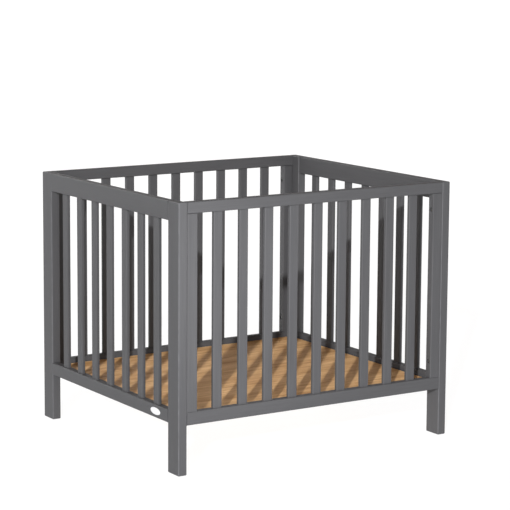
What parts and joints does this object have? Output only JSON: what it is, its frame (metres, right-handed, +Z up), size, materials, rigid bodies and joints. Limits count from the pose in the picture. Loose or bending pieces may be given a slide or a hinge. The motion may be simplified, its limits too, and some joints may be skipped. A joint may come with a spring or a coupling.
{
  "type": "playpen",
  "caption": "Rectangular slatted timber playpen on plank legs, with a plywood floor that sets at different heights.",
  "frame": {"origin": "on the ground, under the middle of the playpen", "axes": "+X along the long sides, +Y from the front panel to the back panel, +Z up"},
  "size_m": [0.95, 0.835, 0.78],
  "materials": {
    "grey_lacquer": "grey satin lacquer on solid beech",
    "floor_ply": "clear sealed birch-faced plywood, tan",
    "zinc_steel": "bright zinc plated steel",
    "white_enamel": "white gloss, blank"
  },
  "bodies": {
    "frame": {"badge": "white_enamel", "end_bottom_rail_left": "grey_lacquer", "end_bottom_rail_right": "grey_lacquer", "end_slat_left_1": "grey_lacquer", "end_slat_left_2": "grey_lacquer", "end_slat_left_3": "grey_lacquer", "end_slat_left_4": "grey_lacquer", "end_slat_left_5": "grey_lacquer", "end_slat_left_6": "grey_lacquer", "end_slat_left_7": "grey_lacquer", "end_slat_right_1": "grey_lacquer", "end_slat_right_2": "grey_lacquer", "end_slat_right_3": "grey_lacquer", "end_slat_right_4": "grey_lacquer", "end_slat_right_5": "grey_lacquer", "end_slat_right_6": "grey_lacquer", "end_slat_right_7": "grey_lacquer", "end_top_rail_left": "grey_lacquer", "end_top_rail_right": "grey_lacquer", "leg_back_left": "grey_lacquer", "leg_back_right": "grey_lacquer", "leg_front_left": "grey_lacquer", "leg_front_right": "grey_lacquer", "panel_bolt_back_left_bottom": "zinc_steel", "panel_bolt_back_left_top": "zinc_steel", "panel_bolt_back_right_bottom": "zinc_steel", "panel_bolt_back_right_top": "zinc_steel", "panel_bolt_front_left_bottom": "zinc_steel", "panel_bolt_front_left_top": "zinc_steel", "panel_bolt_front_right_bottom": "zinc_steel", "panel_bolt_front_right_top": "zinc_steel", "panel_bottom_rail_back": "grey_lacquer", "panel_bottom_rail_front": "grey_lacquer", "panel_slat_back_1": "grey_lacquer", "panel_slat_back_2": "grey_lacquer", "panel_slat_back_3": "grey_lacquer", "panel_slat_back_4": "grey_lacquer", "panel_slat_back_5": "grey_lacquer", "panel_slat_back_6": "grey_lacquer", "panel_slat_back_7": "grey_lacquer", "panel_slat_back_8": "grey_lacquer", "panel_slat_back_9": "grey_lacquer", "panel_slat_front_1": "grey_lacquer", "panel_slat_front_2": "grey_lacquer", "panel_slat_front_3": "grey_lacquer", "panel_slat_front_4": "grey_lacquer", "panel_slat_front_5": "grey_lacquer", "panel_slat_front_6": "grey_lacquer", "panel_slat_front_7": "grey_lacquer", "panel_slat_front_8": "grey_lacquer", "panel_slat_front_9": "grey_lacquer", "panel_stile_back_left": "grey_lacquer", "panel_stile_back_right": "grey_lacquer", "panel_stile_front_left": "grey_lacquer", "panel_stile_front_right": "grey_lacquer", "panel_top_rail_back": "grey_lacquer", "panel_top_rail_front": "grey_lacquer"},
    "floor": {"floor_board": "floor_ply", "floor_batten_left": "grey_lacquer", "floor_batten_right": "grey_lacquer"}
  },
  "joints": [
    {"name": "floor_height", "type": "slide", "parent": "frame", "child": "floor", "axis": [0, 0, 1], "range_m": [0, 0.24]}
  ]
}
